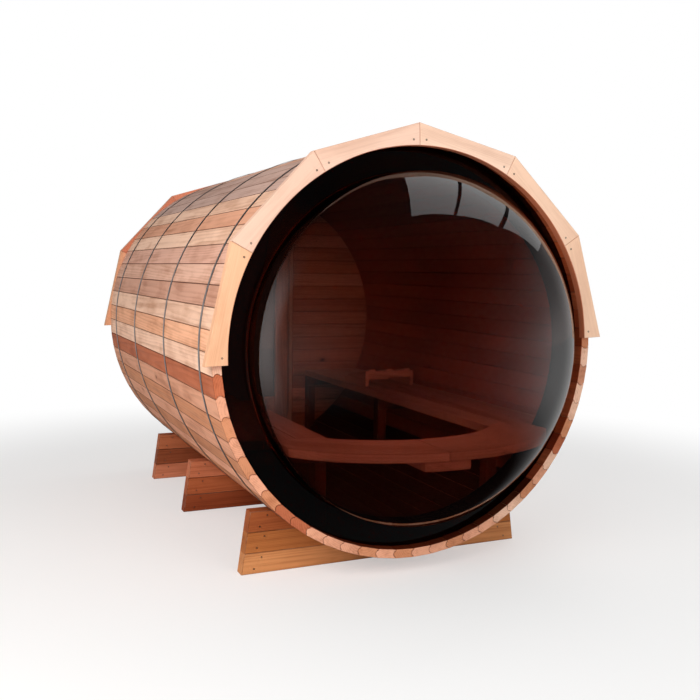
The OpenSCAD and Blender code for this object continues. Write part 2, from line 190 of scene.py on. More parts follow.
def makeCedarGrain():
    tree, given, result = newGroup("cedarGrain", {
        "Grain Position": "Vector", "Board Seed": "Float", "Board Tone": "Color", "Ring Width": "Float",
        "Ring Contrast": "Float", "Streak Contrast": "Float", "Knots": "Float", "Blotches": "Float"}, {
        "Color": "Color", "Height": "Float", "Roughness": "Float"})
    position, seed, tone = given["Grain Position"], given["Board Seed"], given["Board Tone"]
    shuffle = times(seed, 97.3)

    def stretched(along, across):
        return vectorMaths("MULTIPLY", position, (along, across, across))

    def chance(factor):  # another number from 0 to 1 for each board
        return maths("FRACT", times(seed, factor))

    # growth rings about a pith that lies off to one side of each board
    waver = vectorMaths("SUBTRACT", noise(stretched(0.9, 7.0), shuffle)["Color"], (0.5, 0.5, 0.5))
    waver = vectorMaths("MULTIPLY", waver, (0.0, 0.03, 0.03))
    pithAcross = times(maths("SUBTRACT", chance(7.31), 0.5), 0.12)
    pithDeep = plus(times(chance(3.17), 0.10), 0.03)
    pith = addNode(tree, "CombineXYZ", {"Y": pithAcross, "Z": pithDeep}).outputs[0]
    trunk = vectorMaths("ADD", vectorMaths("ADD", position, waver), pith)
    radius = vectorMaths("LENGTH", vectorMaths("MULTIPLY", trunk, (0.018, 1, 1)))
    ring = maths("FRACT", maths("DIVIDE", radius, given["Ring Width"]))
    late = times(smooth(ring, 0.25, 0.85), smooth(ring, 0.9, 1.0, 1.0, 0.0))

    # streaks, a slow drift, blotches and fine fibres
    streak = noise(stretched(1.6, 60.0), shuffle, 3.0)["Fac"]
    drift = noise(stretched(0.8, 9.0), plus(shuffle, 31.0), 1.0)["Fac"]
    blotch = noise(stretched(5.0, 13.0), plus(shuffle, 57.0), 3.0)["Fac"]
    fibre = noise(stretched(14.0, 520.0), shuffle, 1.0)["Fac"]
    shade = times(late, given["Ring Contrast"])
    for part in (times(smooth(streak, 0.42, 0.72), given["Streak Contrast"]),
                 smooth(drift, 0.3, 0.75, -0.1, 0.28),
                 times(smooth(blotch, 0.4, 0.68, -0.5, 0.8), given["Blotches"]),
                 smooth(fibre, 0.3, 0.7, -0.06, 0.06)):
        shade = plus(shade, part)
    shade = addNode(tree, "Clamp", {"Value": shade}).outputs[0]
    deepTone = deepened(tone, 0.56, 0.42, 0.34)
    colour = mixColour(shade, tone, deepTone)

    # a few small knots
    offset = addNode(tree, "CombineXYZ", dict.fromkeys("XYZ", shuffle)).outputs[0]
    cell = addNode(tree, "TexVoronoi", {
        "Vector": vectorMaths("ADD", stretched(5.0, 8.0), offset), "Scale": 1.0}).outputs
    pick = addNode(tree, "SeparateColor", {0: cell["Color"]}).outputs[0]
    chosen = maths("LESS_THAN", pick, given["Knots"])
    knot = times(smooth(cell["Distance"], 0.06, 0.13, 1.0, 0.0), chosen)
    halo = times(smooth(cell["Distance"], 0.1, 0.32, 0.4, 0.0), chosen)
    colour = mixColour(halo, colour, deepTone)
    colour = mixColour(knot, colour, deepened(tone, 0.24, 0.14, 0.10))

    height = plus(times(fibre, 0.5), times(late, -0.35))
    feed(colour, result["Color"])
    feed(plus(height, times(knot, 0.3)), result["Height"])
    feed(smooth(streak, 0.3, 0.7, 0.68, 0.5), result["Roughness"])
    return tree


def makeEdgeRubAndShade():  # shaded joints, paler rubbed arrises in patches, deeper end grain, and painted shade on the sides marked as shaded
    tree, given, result = newGroup("edgeRubAndShade", {
        "Color": "Color", "Grain Position": "Vector", "Edge": "Float", "End": "Float", "Joint Shade": "Float",
        "Rub": "Float", "End And Shade Depth": "Float", "End And Shade Evenness": "Float"}, {"Color": "Color"})
    patch = noise(vectorMaths("MULTIPLY", given["Grain Position"], (9, 30, 30)), 2.0)["Fac"]
    worn = times(smooth(patch, 0.4, 0.62), given["Edge"])
    worn = times(worn, given["Rub"])
    deep = deepened(given["Color"], 0.86, 0.30, 0.15)
    deep = mixColour(given["End And Shade Evenness"], deep, (*ink(184, 116, 86), 1))
    depth = times(given["End"], given["End And Shade Depth"])
    # painted shade, darker still where the depth passes 1
    deep = mixColour(smooth(depth, 1.0, 2.0), deep, deepened(deep, 0.14, 0.12, 0.11))
    colour = mixColour(smooth(depth, 0.0, 1.0), given["Color"], deep)
    joint = times(given["Edge"], given["Joint Shade"])
    colour = mixColour(joint, colour, deepened(colour, 0.22, 0.12, 0.08))
    feed(mixColour(worn, colour, (0.86, 0.66, 0.48, 1)), result["Color"])
    return tree


def makeSmudge():  # faint marks on clear and metal surfaces
    tree, given, result = newGroup("smudge", {
        "Position": "Vector", "Scale": "Float", "Stretch": "Vector", "Low": "Float", "High": "Float"}, {
        "Value": "Float", "Mask": "Float"})
    place = vectorMaths("MULTIPLY", given["Position"], given["Stretch"])
    mask = smooth(noise(place, 4.0, 4.0, given["Scale"])["Fac"], 0.35, 0.7)
    value = addNode(tree, "MapRange", {"Value": mask, "To Min": given["Low"], "To Max": given["High"]})
    feed(value.outputs["Result"], result["Value"])
    feed(mask, result["Mask"])
    return tree


cedarGrain = makeCedarGrain()
edgeRubAndShade = makeEdgeRubAndShade()
smudge = makeSmudge()


def newMaterial(name):
    material = bpy.data.materials.new(name)
    material.use_nodes = True
    return material, material.node_tree, material.node_tree.nodes["Principled BSDF"].inputs


cedarLook = {"ringWidth": 0.0075, "rings": 0.22, "streaks": 0.16, "knots": 0.16, "blotches": 0.12, "rub": 0.0,
             "joint": 0.75, "endDepth": 0.15, "even": (0.0, 0.0), "evenFrom": None, "bump": 0.35,
             "shine": 0.12}


def cedarFinish(name, **changes):
    look = {**cedarLook, **changes}
    material, tree, shader = newMaterial(name)
    read = {key: addNode(tree, "Attribute", attribute_name=key).outputs
            for key in ("grainCo", "boardSeed", "boardTone", "edgeFace", "endGrainAndShade")}
    grain = addNode(tree, "Group", {
        "Grain Position": read["grainCo"]["Vector"], "Board Seed": read["boardSeed"]["Fac"],
        "Board Tone": read["boardTone"]["Color"], "Ring Width": look["ringWidth"],
        "Ring Contrast": look["rings"], "Streak Contrast": look["streaks"], "Knots": look["knots"],
        "Blotches": look["blotches"]}, node_tree=cedarGrain).outputs
    front, back = look["even"]
    rub = addNode(tree, "Group", {
        "Color": grain["Color"], "Grain Position": read["grainCo"]["Vector"], "Edge": read["edgeFace"]["Fac"],
        "End": read["endGrainAndShade"]["Fac"], "Joint Shade": look["joint"], "Rub": look["rub"],
        "End And Shade Depth": look["endDepth"], "End And Shade Evenness": front}, node_tree=edgeRubAndShade)
    if look["evenFrom"]:  # painted shade: behind the window the inside faces take one even tone
        along = partsOf(addNode(tree, "TexCoord").outputs["Object"])["Y"]
        near, far = (frontY + distance for distance in look["evenFrom"])
        feed(smooth(along, near, far, front, back), rub.inputs["End And Shade Evenness"])
    bump = addNode(tree, "Bump", {"Height": grain["Height"], "Strength": look["bump"], "Distance": 0.001})
    feed(rub.outputs["Color"], shader["Base Color"])
    feed(grain["Roughness"], shader["Roughness"])
    feed(bump.outputs["Normal"], shader["Normal"])
    shader["Specular IOR Level"].default_value = look["shine"]
    return material


def addMarks(tree, shader, colour, worn, rough, scale, stretch):
    place = addNode(tree, "TexCoord").outputs["Object"]
    marks = addNode(tree, "Group", {
        "Position": place, "Scale": scale, "Stretch": stretch, "Low": rough[0], "High": rough[1]},
        node_tree=smudge).outputs
    feed(marks["Value"], shader["Roughness"])
    return place, marks["Value"], mixColour(marks["Mask"], (*colour, 1), (*worn, 1))


def metalFinish(name, colour, worn, rough, scale, stretch):
    material, tree, shader = newMaterial(name)
    place, marks, shade = addMarks(tree, shader, colour, worn, rough, scale, stretch)
    bump = addNode(tree, "Bump", {"Height": marks, "Strength": 0.15, "Distance": 0.0005})
    feed(shade, shader["Base Color"])
    feed(bump.outputs["Normal"], shader["Normal"])
    shader["Metallic"].default_value = 1.0
    return material


def clearFinish(name, colour, worn, ior, flangeShade=None, flangeShadeRadius=(), rough=(0.0, 0.03), scale=2.6):
    material, tree, shader = newMaterial(name)
    place, marks, shade = addMarks(tree, shader, colour, worn, rough, scale, (1, 1, 1))
    if flangeShade:  # painted shade: the tint is darkened towards the flange, about the barrel's axis, for the dark recess seen through and mirrored in the acrylic
        radial = vectorMaths("MULTIPLY", vectorMaths("SUBTRACT", place, (0, 0, axisZ)), (1, 0, 1))
        shade = mixColour(smooth(vectorMaths("LENGTH", radial), *flangeShadeRadius), shade, (*flangeShade, 1))
    feed(shade, shader["Base Color"])
    shader["Transmission Weight"].default_value = 1.0
    shader["IOR"].default_value = ior
    return material


# the staves' inside faces carry painted shade, of one even tone behind the window
staveCedar = cedarFinish("staveCedar", rings=0.26, streaks=0.3, blotches=0.3, even=(0.1, 0.75),
                         evenFrom=(0.048, 0.058))
fasciaCedar = cedarFinish("fasciaCedar", ringWidth=0.005, rings=0.1, streaks=0.12, knots=0.0, joint=0.2,
                          rub=0.25, endDepth=0.75)
cradleCedar = cedarFinish("cradleCedar", rings=0.26, streaks=0.4, knots=0.25, joint=0.5, rub=0.1)
benchCedar = cedarFinish("benchCedar", rings=0.2, streaks=0.18, knots=0.05, joint=0.3, rub=0.3)
wallCedar = cedarFinish("wallCedar", rings=0.3, streaks=0.2, knots=0.2, joint=0.35)
hoopSteel = metalFinish("hoopSteel", colour=ink(168, 164, 166), worn=ink(200, 196, 196), rough=(0.35, 0.6),
                        scale=12.0, stretch=(1, 14, 1))
hingeSteel = metalFinish("hingeSteel", colour=ink(150, 148, 146), worn=ink(186, 184, 181), rough=(0.25, 0.45),
                         scale=30.0, stretch=(1, 1, 8))
screwSteel = metalFinish("screwSteel", colour=ink(96, 82, 74), worn=ink(150, 140, 132), rough=(0.3, 0.5),
                         scale=200.0, stretch=(1, 1, 1))
# the bubble's acrylic carries painted shade near the flange
bronzeAcrylic = clearFinish("bronzeAcrylic", colour=ink(150, 113, 105), worn=ink(143, 106, 98), ior=1.49,
                            flangeShade=ink(66, 24, 14), flangeShadeRadius=(0.735, 0.765))
bronzeGlass = clearFinish("bronzeGlass", colour=ink(72, 58, 52), worn=ink(68, 54, 48), ior=1.5)
print("finishes made")


# boards: an outline run along a third axis, with rubbed arrises and its own grain
boardLayers = {"grainCo": ("FLOAT_VECTOR", "POINT"), "boardTone": ("FLOAT_VECTOR", "POINT"),
               "boardSeed": ("FLOAT", "POINT"), "edgeFace": ("FLOAT", "FACE"), "endGrainAndShade": ("FLOAT", "FACE")}


def newStack():
    return {key: [] for key in ("points", "faces", *boardLayers)}


def insetOutline(outline, depth):
    inside = []
    for i, here in enumerate(outline):
        first = (here - outline[i - 1]).normalized()
        second = (outline[(i + 1) % len(outline)] - here).normalized()
        firstOut = Vector((first.y, -first.x))
        secondOut = Vector((second.y, -second.x))
        inside.append(here - (firstOut + secondOut) * depth / max(1 + firstOut.dot(secondOut), 0.4))
    return inside


def addBoard(stack, outline, place, span, axes, tone, bevel, spread=0.05, grainMap=None, fineEdge=0.004,
             shadedSides=(), shadeDepth=1.0, shadedSideJoint=1.0):
    tone = tint(tone, spread) if spread else tone
    seed = dice.random()
    origin, across, up, along = place
    flat = [Vector(p) for p in outline]
    area = sum(a.x * b.y - a.y * b.x for a, b in zip(flat, flat[1:] + flat[:1]))
    if area < 0:
        flat.reverse()
    mirrored = across.cross(up).dot(along) < 0
    inside = insetOutline(flat, bevel)
    low, high = span
    count = len(flat)
    start = len(stack["points"])
    rings = ((inside, low), (flat, low + bevel), (flat, high - bevel), (inside, high))
    fresh = [origin + across * p.x + up * p.y + along * level for ring, level in rings for p in ring]
    faces = [(tuple(range(count - 1, -1, -1)), 0.0), (tuple(range(3 * count, 4 * count)), 0.0)]
    for ring in range(3):
        here, there = ring * count, (ring + 1) * count
        for i in range(count):
            j = (i + 1) % count
            short = (flat[j] - flat[i]).length < fineEdge
            edge = 1.0 if ring != 1 or short else 0.0
            faces.append(((here + i, here + j, there + j, there + i), edge))
    middle = sum(fresh, Vector()) / len(fresh)
    shift = (seed * 13.7) % 5
    grain, broad, deep = axes
    for p in fresh:
        local = p - middle
        stack["grainCo"].append(grainMap(p) if grainMap else
                                (local.dot(grain) + shift, local.dot(broad), local.dot(deep)))
    for k, (face, edge) in enumerate(faces):
        a, b, c = (fresh[i] for i in face[:3])
        normal = (b - a).cross(c - b).normalized() * (-1 if mirrored else 1)
        if k < 2:  # the two ends, whatever the outline's corners do
            normal = along * (2 * k - 1)
        square = 0.8
        # faces turned towards the shaded sides get painted shade, stored with the end grain's depth
        onShadedSide = any(normal.dot(way) > (0.5 if edge else square) for way in shadedSides)
        if onShadedSide:
            depth = shadeDepth
        else:
            depth = 1.0 if not edge and abs(normal.dot(grain)) > square else 0.0
        stack["endGrainAndShade"].append(depth)
        stack["edgeFace"].append(edge * shadedSideJoint if onShadedSide else edge)
        order = tuple(reversed(face)) if mirrored else face
        stack["faces"].append(tuple(start + i for i in order))
    stack["points"] += fresh
    stack["boardTone"] += [tone] * len(fresh)
    stack["boardSeed"] += [seed] * len(fresh)


def addPiece(name, points, faces, material, nodes=(), sharp=32):
    mesh = bpy.data.meshes.new(name)
    mesh.from_pydata(points, [], faces)
    mesh.shade_smooth()
    mesh.set_sharp_from_angle(angle=math.radians(sharp))
    mesh.materials.append(material)
    piece = bpy.data.objects.new(name, mesh)
    scene.collection.objects.link(piece)
    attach(piece, "root")
    if nodes:
        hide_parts(*nodes)
    return mesh


def makeBoards(stack, node, material, name=None):
    mesh = addPiece(name or "cedar_" + node, stack["points"], stack["faces"], material, [node])
    for key, (kind, domain) in boardLayers.items():
        layer = mesh.attributes.new(key, kind, domain)
        if kind == "FLOAT":
            layer.data.foreach_set("value", stack[key])
        else:
            layer.data.foreach_set("vector", [c for v in stack[key] for c in v])


# staves
barrel = {
    "staves": 64, "turn": 2.5, "thickness": 0.040, "gap": 0.0012, "chamfer": 0.002, "bevel": 0.001,
    "beadRadius": 0.014, "beadHeight": 0.010, "beadSteps": 8, "hoopStandOff": 0.0024, "insideJoint": 0.3,
    # painted shade on the staves' inside faces, darkest on the roof and floor
    "insideShade": {"right_staves": 6.4, "roof_staves": 9.0, "left_staves": 6.4, "floor_staves": 12.0},
    "tones": {"c": ink(250, 206, 178), "p": ink(250, 188, 150), "t": ink(232, 170, 138),
              "r": ink(224, 174, 152), "s": ink(234, 186, 162), "q": ink(214, 162, 138),
              "g": ink(208, 174, 160), "b": ink(212, 146, 108), "d": ink(192, 112, 78)},
    "order": "btcbtpcr" "tbctrcpt" "cgtgsggg" "ctcrsqcp" "cdtbtbtb" "ddtttbtb" "ttbttccb" "tcdbcctc",
}
staveAngle = math.tau / barrel["staves"]
cornerRadius = (hoopHigh.x - hoopLow.x) / 2 - barrel["hoopStandOff"]
outerRadius = cornerRadius * math.cos(staveAngle / 2)
innerRadius = outerRadius - barrel["thickness"]
turn = math.radians(barrel["turn"])


def staveOutline():
    half, chamfer, steps = staveAngle / 2, barrel["chamfer"], barrel["beadSteps"]
    bead, rise, gap = barrel["beadRadius"], barrel["beadHeight"], barrel["gap"]

    def side(radius):
        return radius * math.tan(half) - gap / 2

    middle = (innerRadius + outerRadius) / 2
    centre = Vector((middle, bead - rise - side(middle)))
    cove = Matrix.Rotation(staveAngle, 2) @ centre
    beadDip = math.asin((bead - rise) * math.cos(half) / bead)
    coveDip = math.asin(((bead - rise) * math.cos(half) + gap) / (bead + gap))
    beadCurve = arc(bead, -half + math.pi + beadDip, -half + math.tau - beadDip, steps)
    coveCurve = arc(bead + gap, half + math.tau - coveDip, half + math.pi + coveDip, steps)
    low, high = innerRadius + chamfer, outerRadius - chamfer
    return ([(innerRadius, chamfer - side(innerRadius)), (low, -side(low))]
            + [centre + Vector(p) for p in beadCurve]
            + [(high, -side(high)), (outerRadius, chamfer - side(outerRadius)),
               (outerRadius, side(outerRadius) - chamfer), (high, side(high))]
            + [cove + Vector(p) for p in coveCurve]
            + [(low, side(low)), (innerRadius, side(innerRadius) - chamfer)])


staveShape = staveOutline()
quarter = barrel["staves"] // 4
for count, (name, depth) in enumerate(barrel["insideShade"].items()):
    stack = newStack()
    for i in range(count * quarter - quarter // 2, count * quarter + quarter // 2):
        outward, around = spoke(turn + i * staveAngle)
        tone = barrel["tones"][barrel["order"][i % barrel["staves"]]]
        addBoard(stack, staveShape, (middlePlace, outward, around, axisY), (0, barrelLength),
                 (axisY, around, outward), tone, barrel["bevel"], shadedSides=(-outward,), shadeDepth=depth,
                 shadedSideJoint=barrel["insideJoint"])
    makeBoards(stack, name, staveCedar)
print("staves made")

# fascia boards
fascia = {"boards": 6, "thickness": 0.038, "overhang": 0.006, "lip": 0.016, "mitreGap": 0.001, "bevel": 0.002,
          "spread": 0.02, "screwTurn": 0.034, "screwRise": 0.024,
          "tones": [ink(252, 210, 180), ink(250, 210, 182), ink(252, 216, 192), ink(242, 204, 182),
                    ink(234, 194, 172), ink(242, 188, 150)],
          "backShade": [0.2, 0.2, 0.9, 0.9, 0.9, 0.3]}  # painted shade on the rear boards' faces above the roof, deepest on the three top boards
fasciaHalf = math.pi / fascia["boards"] / 2
fasciaFlat = outerRadius + fascia["overhang"]
fasciaInner = innerRadius - fascia["lip"]
fasciaReach = fasciaFlat * math.tan(fasciaHalf) - fascia["mitreGap"] / 2
fasciaSweep = fasciaHalf - fascia["mitreGap"] / 2 * math.cos(fasciaHalf) / fasciaInner
fasciaShape = ([(fasciaFlat, -fasciaReach), (fasciaFlat, fasciaReach)]
               + arc(fasciaInner, fasciaSweep, -fasciaSweep, 16))
for name, start in (("front_fascia", -fascia["thickness"]), ("rear_fascia", barrelLength)):
    stack = newStack()
    for i in range(fascia["boards"]):
        outward, around = spoke(turn + (2 * i + 1) * fasciaHalf)
        # the inner arc faces get painted shade
        shadedSides, depth = (-outward,), 1.0
        if name == "rear_fascia":
            shadedSides, depth = (-outward, -axisY), fascia["backShade"][i]
        addBoard(stack, fasciaShape, (middlePlace, outward, around, axisY),
                 (start, start + fascia["thickness"]), (around, outward, axisY), fascia["tones"][i],
                 fascia["bevel"], fascia["spread"], shadedSides=shadedSides, shadeDepth=depth)
    makeBoards(stack, name, fasciaCedar)
print("fascia made")

# cradles
cradle = {"boards": 3, "height": 0.093, "length": 1.416, "slant": 0.040, "bevel": 0.003, "spread": 0.12,
          "screws": ((0.05, -0.0238), (0.085, 0.0252)),  # inset from the end and rise
          # the front cradle's bottom and middle tones are a little darker, painted shade for the barrel's
          # shadow over it; the other tone differences are the boards' own
          "tones": {"front_cradle": [ink(202, 140, 90), ink(184, 114, 62), ink(162, 90, 50)],
                    "middle_cradle": [ink(142, 70, 40), ink(180, 100, 62), ink(208, 128, 92)],
                    "rear_cradle": [ink(204, 130, 98), ink(152, 84, 54), ink(196, 118, 80)]}}
cradleRadius = cornerRadius + fitGap
lean = cradle["slant"] / (cradle["boards"] * cradle["height"])
for name, tones in cradle["tones"].items():
    low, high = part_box(name)
    place = (Vector((0, low.y, 0)), axisX, upright, axisY)
    stack = newStack()
    for i, tone in enumerate(tones):
        foot, top = i * cradle["height"], (i + 1) * cradle["height"] - fitGap
        footHalf, topHalf = (cradle["length"] / 2 - z * lean for z in (foot, top))
        if axisZ - foot > cradleRadius:  # the lowest board runs right under the barrel
            reach = math.asin(chord(cradleRadius, axisZ - top) / cradleRadius)
            hollow = [(cradleRadius * math.sin(a), axisZ - cradleRadius * math.cos(a))
                      for a in between(reach, -reach, 20)]
            outlines = [[(-footHalf, foot), (footHalf, foot), (topHalf, top)] + hollow + [(-topHalf, top)]]
        else:
            right = [(footHalf, foot), (topHalf, top)]
            right += [(chord(cradleRadius, axisZ - z), z) for z in between(top, foot, 6)]
            outlines = [right, flipped(right)]
        for outline in outlines:
            addBoard(stack, outline, place, (0, high.y - low.y), levelGrain, tone, cradle["bevel"],
                     cradle["spread"])
    makeBoards(stack, name, cradleCedar)
print("cradles made")


# turned pieces about the barrel's axis; the profile gives radius and distance from the front rim
def makeTurned(profile, name, material, node, segments, sharp):
    points, faces, rings = [], [], []
    area = sum(a[0] * b[1] - a[1] * b[0] for a, b in zip(profile, profile[1:] + profile[:1]))
    for radius, distance in profile if area > 0 else profile[::-1]:
        if radius < 1e-6:
            rings.append([len(points)] * segments)
            points.append(fromRim(0, distance, 0))
            continue
        rings.append(list(range(len(points), len(points) + segments)))
        points += [fromRim(x, distance, z) for x, z in circle(radius, segments)]
    for first, second in zip(rings, rings[1:] + rings[:1]):
        for k in range(segments):
            j = (k + 1) % segments
            corners = list(dict.fromkeys((first[k], second[k], second[j], first[j])))
            if len(corners) > 2:
                faces.append(corners)
    addPiece(name, points, faces, material, [node], sharp)


# bubble window: a cap on a straight skirt
bubble = {"recess": 0.050, "thickness": 0.006, "flangeWidth": 0.122, "height": 0.563, "skirt": 0.137,
          "shoulder": 0.016, "fillet": 0.012, "flangeEdge": 0.0116, "steps": 56, "bendSteps": 6,
          "segments": 160, "sharp": 40}
bubbleBase = innerRadius - bubble["flangeWidth"]
capHeight = bubble["height"] - bubble["skirt"]
bubbleRadius = (bubbleBase ** 2 + capHeight ** 2) / (2 * capHeight)
bubbleCentre = bubble["recess"] + bubbleRadius - bubble["height"]
bubbleInside = bubbleRadius - bubble["thickness"]


def bubbleCurve(inset):  # from the skirt over the shoulder to the middle of the cap
    shoulder = bubble["shoulder"]
    bend = bubbleBase - shoulder
    away = chord(bubbleRadius - shoulder, bend)
    angle = math.atan2(away, bend)
    corner = arc(shoulder - inset, 0, angle, bubble["bendSteps"])
    cap = arc(bubbleRadius - inset, angle, math.pi / 2, bubble["steps"])[1:-1]
    return ([(bend + x, bubbleCentre - away - y) for x, y in corner]
            + [(x, bubbleCentre - y) for x, y in cap] + [(0, bubbleCentre - bubbleRadius + inset)])


def bubbleProfile():
    edge, fillet = innerRadius + bubble["flangeEdge"], bubble["fillet"]
    front, back = bubble["recess"], bubble["recess"] + bubble["thickness"]
    flare = arc(fillet, math.pi / 2, math.pi, bubble["bendSteps"])
    flare = [(bubbleBase + fillet + x, front - fillet + y) for x, y in flare]
    inside = [(bubbleBase - bubble["thickness"], back)] + bubbleCurve(bubble["thickness"])
    return [(edge, back), (edge, front)] + flare + bubbleCurve(0) + inside[::-1]


makeTurned(bubbleProfile(), "bubble_acrylic", bronzeAcrylic, "bubble_window",
           bubble["segments"], bubble["sharp"])

# hoops
hoop = {"thickness": 0.002, "rounding": 0.0006, "segments": 192, "sharp": 60}
for name in ("hoop_front", "hoop_second", "hoop_third", "hoop_rear"):
    low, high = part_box(name)
    near, far = low.y - frontY, high.y - frontY
    outside = (high.x - low.x) / 2
    inside, soft = outside - hoop["thickness"], hoop["rounding"]
    profile = [(inside, near), (outside - soft, near), (outside, near + soft), (outside, far - soft),
               (outside - soft, far), (inside, far)]
    makeTurned(profile, "steel_" + name, hoopSteel, name, hoop["segments"], hoop["sharp"])
print("bubble and hoops made")

# benches
bench = {"height": 0.508, "thickness": 0.038, "aisle": 0.804, "boards": 3, "gap": 0.008, "reach": 0.375,
         "depth": 0.272, "radius": 0.890, "steps": 28, "seam": -0.06, "seamGap": 0.001, "jointGap": 0.0004,
         "cleat": 0.200, "bearer": 0.060, "bearerHeight": 0.064, "leg": 0.055, "room": 0.004, "bevel": 0.003,
         "tones": [ink(236, 196, 168), ink(228, 184, 156), ink(240, 204, 176)], "frame": ink(138, 78, 52)}
cabinRadius = innerRadius - fitGap
halfAisle = bench["aisle"] / 2
benchTop = bench["height"] - innerRadius
benchUnder = benchTop - bench["thickness"]
bearerUnder = benchUnder - bench["bearerHeight"]
benchEdge = chord(cabinRadius, benchTop)
benchJoint = bubble["recess"] + bubble["thickness"] + fitGap + bench["bearer"] / 2
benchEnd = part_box("end_wall")[0].y - frontY - fitGap
boardWidth = (benchEdge - halfAisle - (bench["boards"] - 1) * bench["gap"]) / bench["boards"]


def makeBench(stack, node, name=None):
    makeBoards(stack, node, benchCedar, name)


for name, side in (("left_bench", -1), ("right_bench", 1)):
    stack = newStack()
    for i in range(bench["boards"]):
        inside = halfAisle + i * (boardWidth + bench["gap"])
        outside = inside + boardWidth
        under = min(outside, chord(cabinRadius, benchUnder))
        outline = [(side * inside, benchUnder), (side * under, benchUnder), (side * outside, benchTop),
                   (side * inside, benchTop)]
        addBoard(stack, outline, axisPlace, (benchJoint + bench["jointGap"] / 2, benchEnd),
                 (axisY, axisX, upright), dice.choice(bench["tones"]), bench["bevel"])
    makeBench(stack, name)

benchCurve = bench["radius"] - bench["reach"]
benchCorner = chord(bubbleBase - bubble["thickness"], benchUnder) - bench["room"]
planGrain = (axisX, axisY, upright)


def frontEdge(x, under, setback=0.0):  # stays inside the bubble at the board's underside
    limit = chord(bubbleInside, under) - bench["room"]
    return max(benchCurve - chord(bench["radius"] - setback, x), bubbleCentre - chord(limit, x))


def backEdge(x):
    return benchCurve - chord(bench["radius"] - bench["depth"], x)


def curvedGrain(p):  # the grain runs round the bench
    x, y = p.x, p.y - frontY - benchCurve
    return (math.atan2(x, -y) * bench["radius"], math.hypot(x, y), p.z)


stack = newStack()
seam = bench["seam"]
for side in (-1, 1):
    corner, inside, joint = side * benchCorner, side * halfAisle, benchJoint - bench["jointGap"] / 2
    frontX = [seam + (corner - seam) * math.sin(a) for a in between(0, math.pi / 2, bench["steps"])]
    backX = between(inside, seam, bench["steps"])
    frontX[0] += side * bench["seamGap"] / 2
    backX[-1] += side * bench["seamGap"] / 2
    outline = ([(x, frontEdge(x, benchUnder)) for x in frontX] + [(corner, joint), (inside, joint)]
               + [(x, backEdge(x)) for x in backX])
    addBoard(stack, outline, planPlace, (benchUnder, benchTop), planGrain, bench["tones"][0], bench["bevel"],
             grainMap=curvedGrain, fineEdge=0)
makeBench(stack, "window_bench")

stack = newStack()
cleatX = between(seam - bench["cleat"] / 2, seam + bench["cleat"] / 2, 8)
cleatUnder = benchUnder - bench["thickness"]
outline = ([(x, frontEdge(x, cleatUnder, bench["room"])) for x in cleatX]
           + [(x, backEdge(x) - bench["room"]) for x in cleatX[::-1]])
addBoard(stack, outline, planPlace, (cleatUnder, benchUnder), planGrain, bench["tones"][1], bench["bevel"],
         fineEdge=0)
makeBench(stack, "window_bench_cleat", "cedar_bench_cleat")

bearers, legs = newStack(), newStack()
for side in (-1, 1):
    for middle in (benchJoint, (benchJoint + benchEnd) / 2, benchEnd - bench["bearer"] / 2):
        span = (middle - bench["bearer"] / 2, middle + bench["bearer"] / 2)
        outline = ([(side * halfAisle, bearerUnder)]
                   + [(side * chord(cabinRadius, z), z) for z in between(bearerUnder, benchUnder, 3)]
                   + [(side * halfAisle, benchUnder)])
        addBoard(bearers, outline, axisPlace, span, levelGrain, bench["frame"], bench["bevel"])
        outside = halfAisle + bench["leg"]
        outline = ([(side * x, -chord(cabinRadius, x)) for x in between(halfAisle, outside, 3)]
                   + [(side * outside, bearerUnder), (side * halfAisle, bearerUnder)])
        addBoard(legs, outline, axisPlace, span, standingGrain, bench["frame"], bench["bevel"])
makeBench(bearers, "bench_bearers")
makeBench(legs, "bench_legs")

# headrest: a wedge-shaped frame with slats
headrest = {"setback": 1.440, "length": 0.320, "width": 0.330, "height": 0.090, "foot": 0.030, "bar": 0.024,
            "barHeight": 0.038, "barBevel": 0.001, "slat": 0.043, "slatThickness": 0.014, "slats": 3,
            "bevel": 0.002, "tone": ink(250, 206, 172)}
length, height, foot, bar = (headrest[key] for key in ("length", "height", "foot", "bar"))
headrestLeft = (halfAisle + benchEdge - headrest["width"]) / 2
headrestPlace = (fromRim(headrestLeft, headrest["setback"], benchTop), axisY, upright, axisX)
slope = math.atan((height - foot) / length)
barDrop = bar * math.tan(slope)
stack = newStack()
for x in (0, headrest["width"] - bar):
    addBoard(stack, [(0, 0), (length, 0), (length, foot), (0, height)], headrestPlace, (x, x + bar),
             (axisY, upright, axisX), headrest["tone"], headrest["bevel"])
barUnder = height - headrest["barHeight"]
highBar = [(0, barUnder), (bar, barUnder), (bar, height - barDrop), (0, height)]
lowBar = [(length - bar, 0), (length, 0), (length, foot), (length - bar, foot + barDrop)]
for outline in (highBar, lowBar):
    addBoard(stack, outline, headrestPlace, (bar, headrest["width"] - bar), levelGrain, headrest["tone"],
             headrest["barBevel"])
makeBench(stack, "headrest_frame")
stack = newStack()
down = Vector((0, math.cos(slope), -math.sin(slope)))
raised = Vector((0, math.sin(slope), math.cos(slope)))
slatPlace = (fromRim(headrestLeft, headrest["setback"], benchTop + height), down, raised, axisX)
slatShape = rectangle(0, 0, length / math.cos(slope), headrest["slatThickness"])
pitch = (headrest["width"] - headrest["slat"] - 2 * bar) / (headrest["slats"] - 1)
for i in range(headrest["slats"]):
    start = bar + i * pitch
    addBoard(stack, slatShape, slatPlace, (start, start + headrest["slat"]), (down, axisX, raised),
             headrest["tone"], headrest["bevel"])
makeBench(stack, "headrest_slats")
print("benches made")

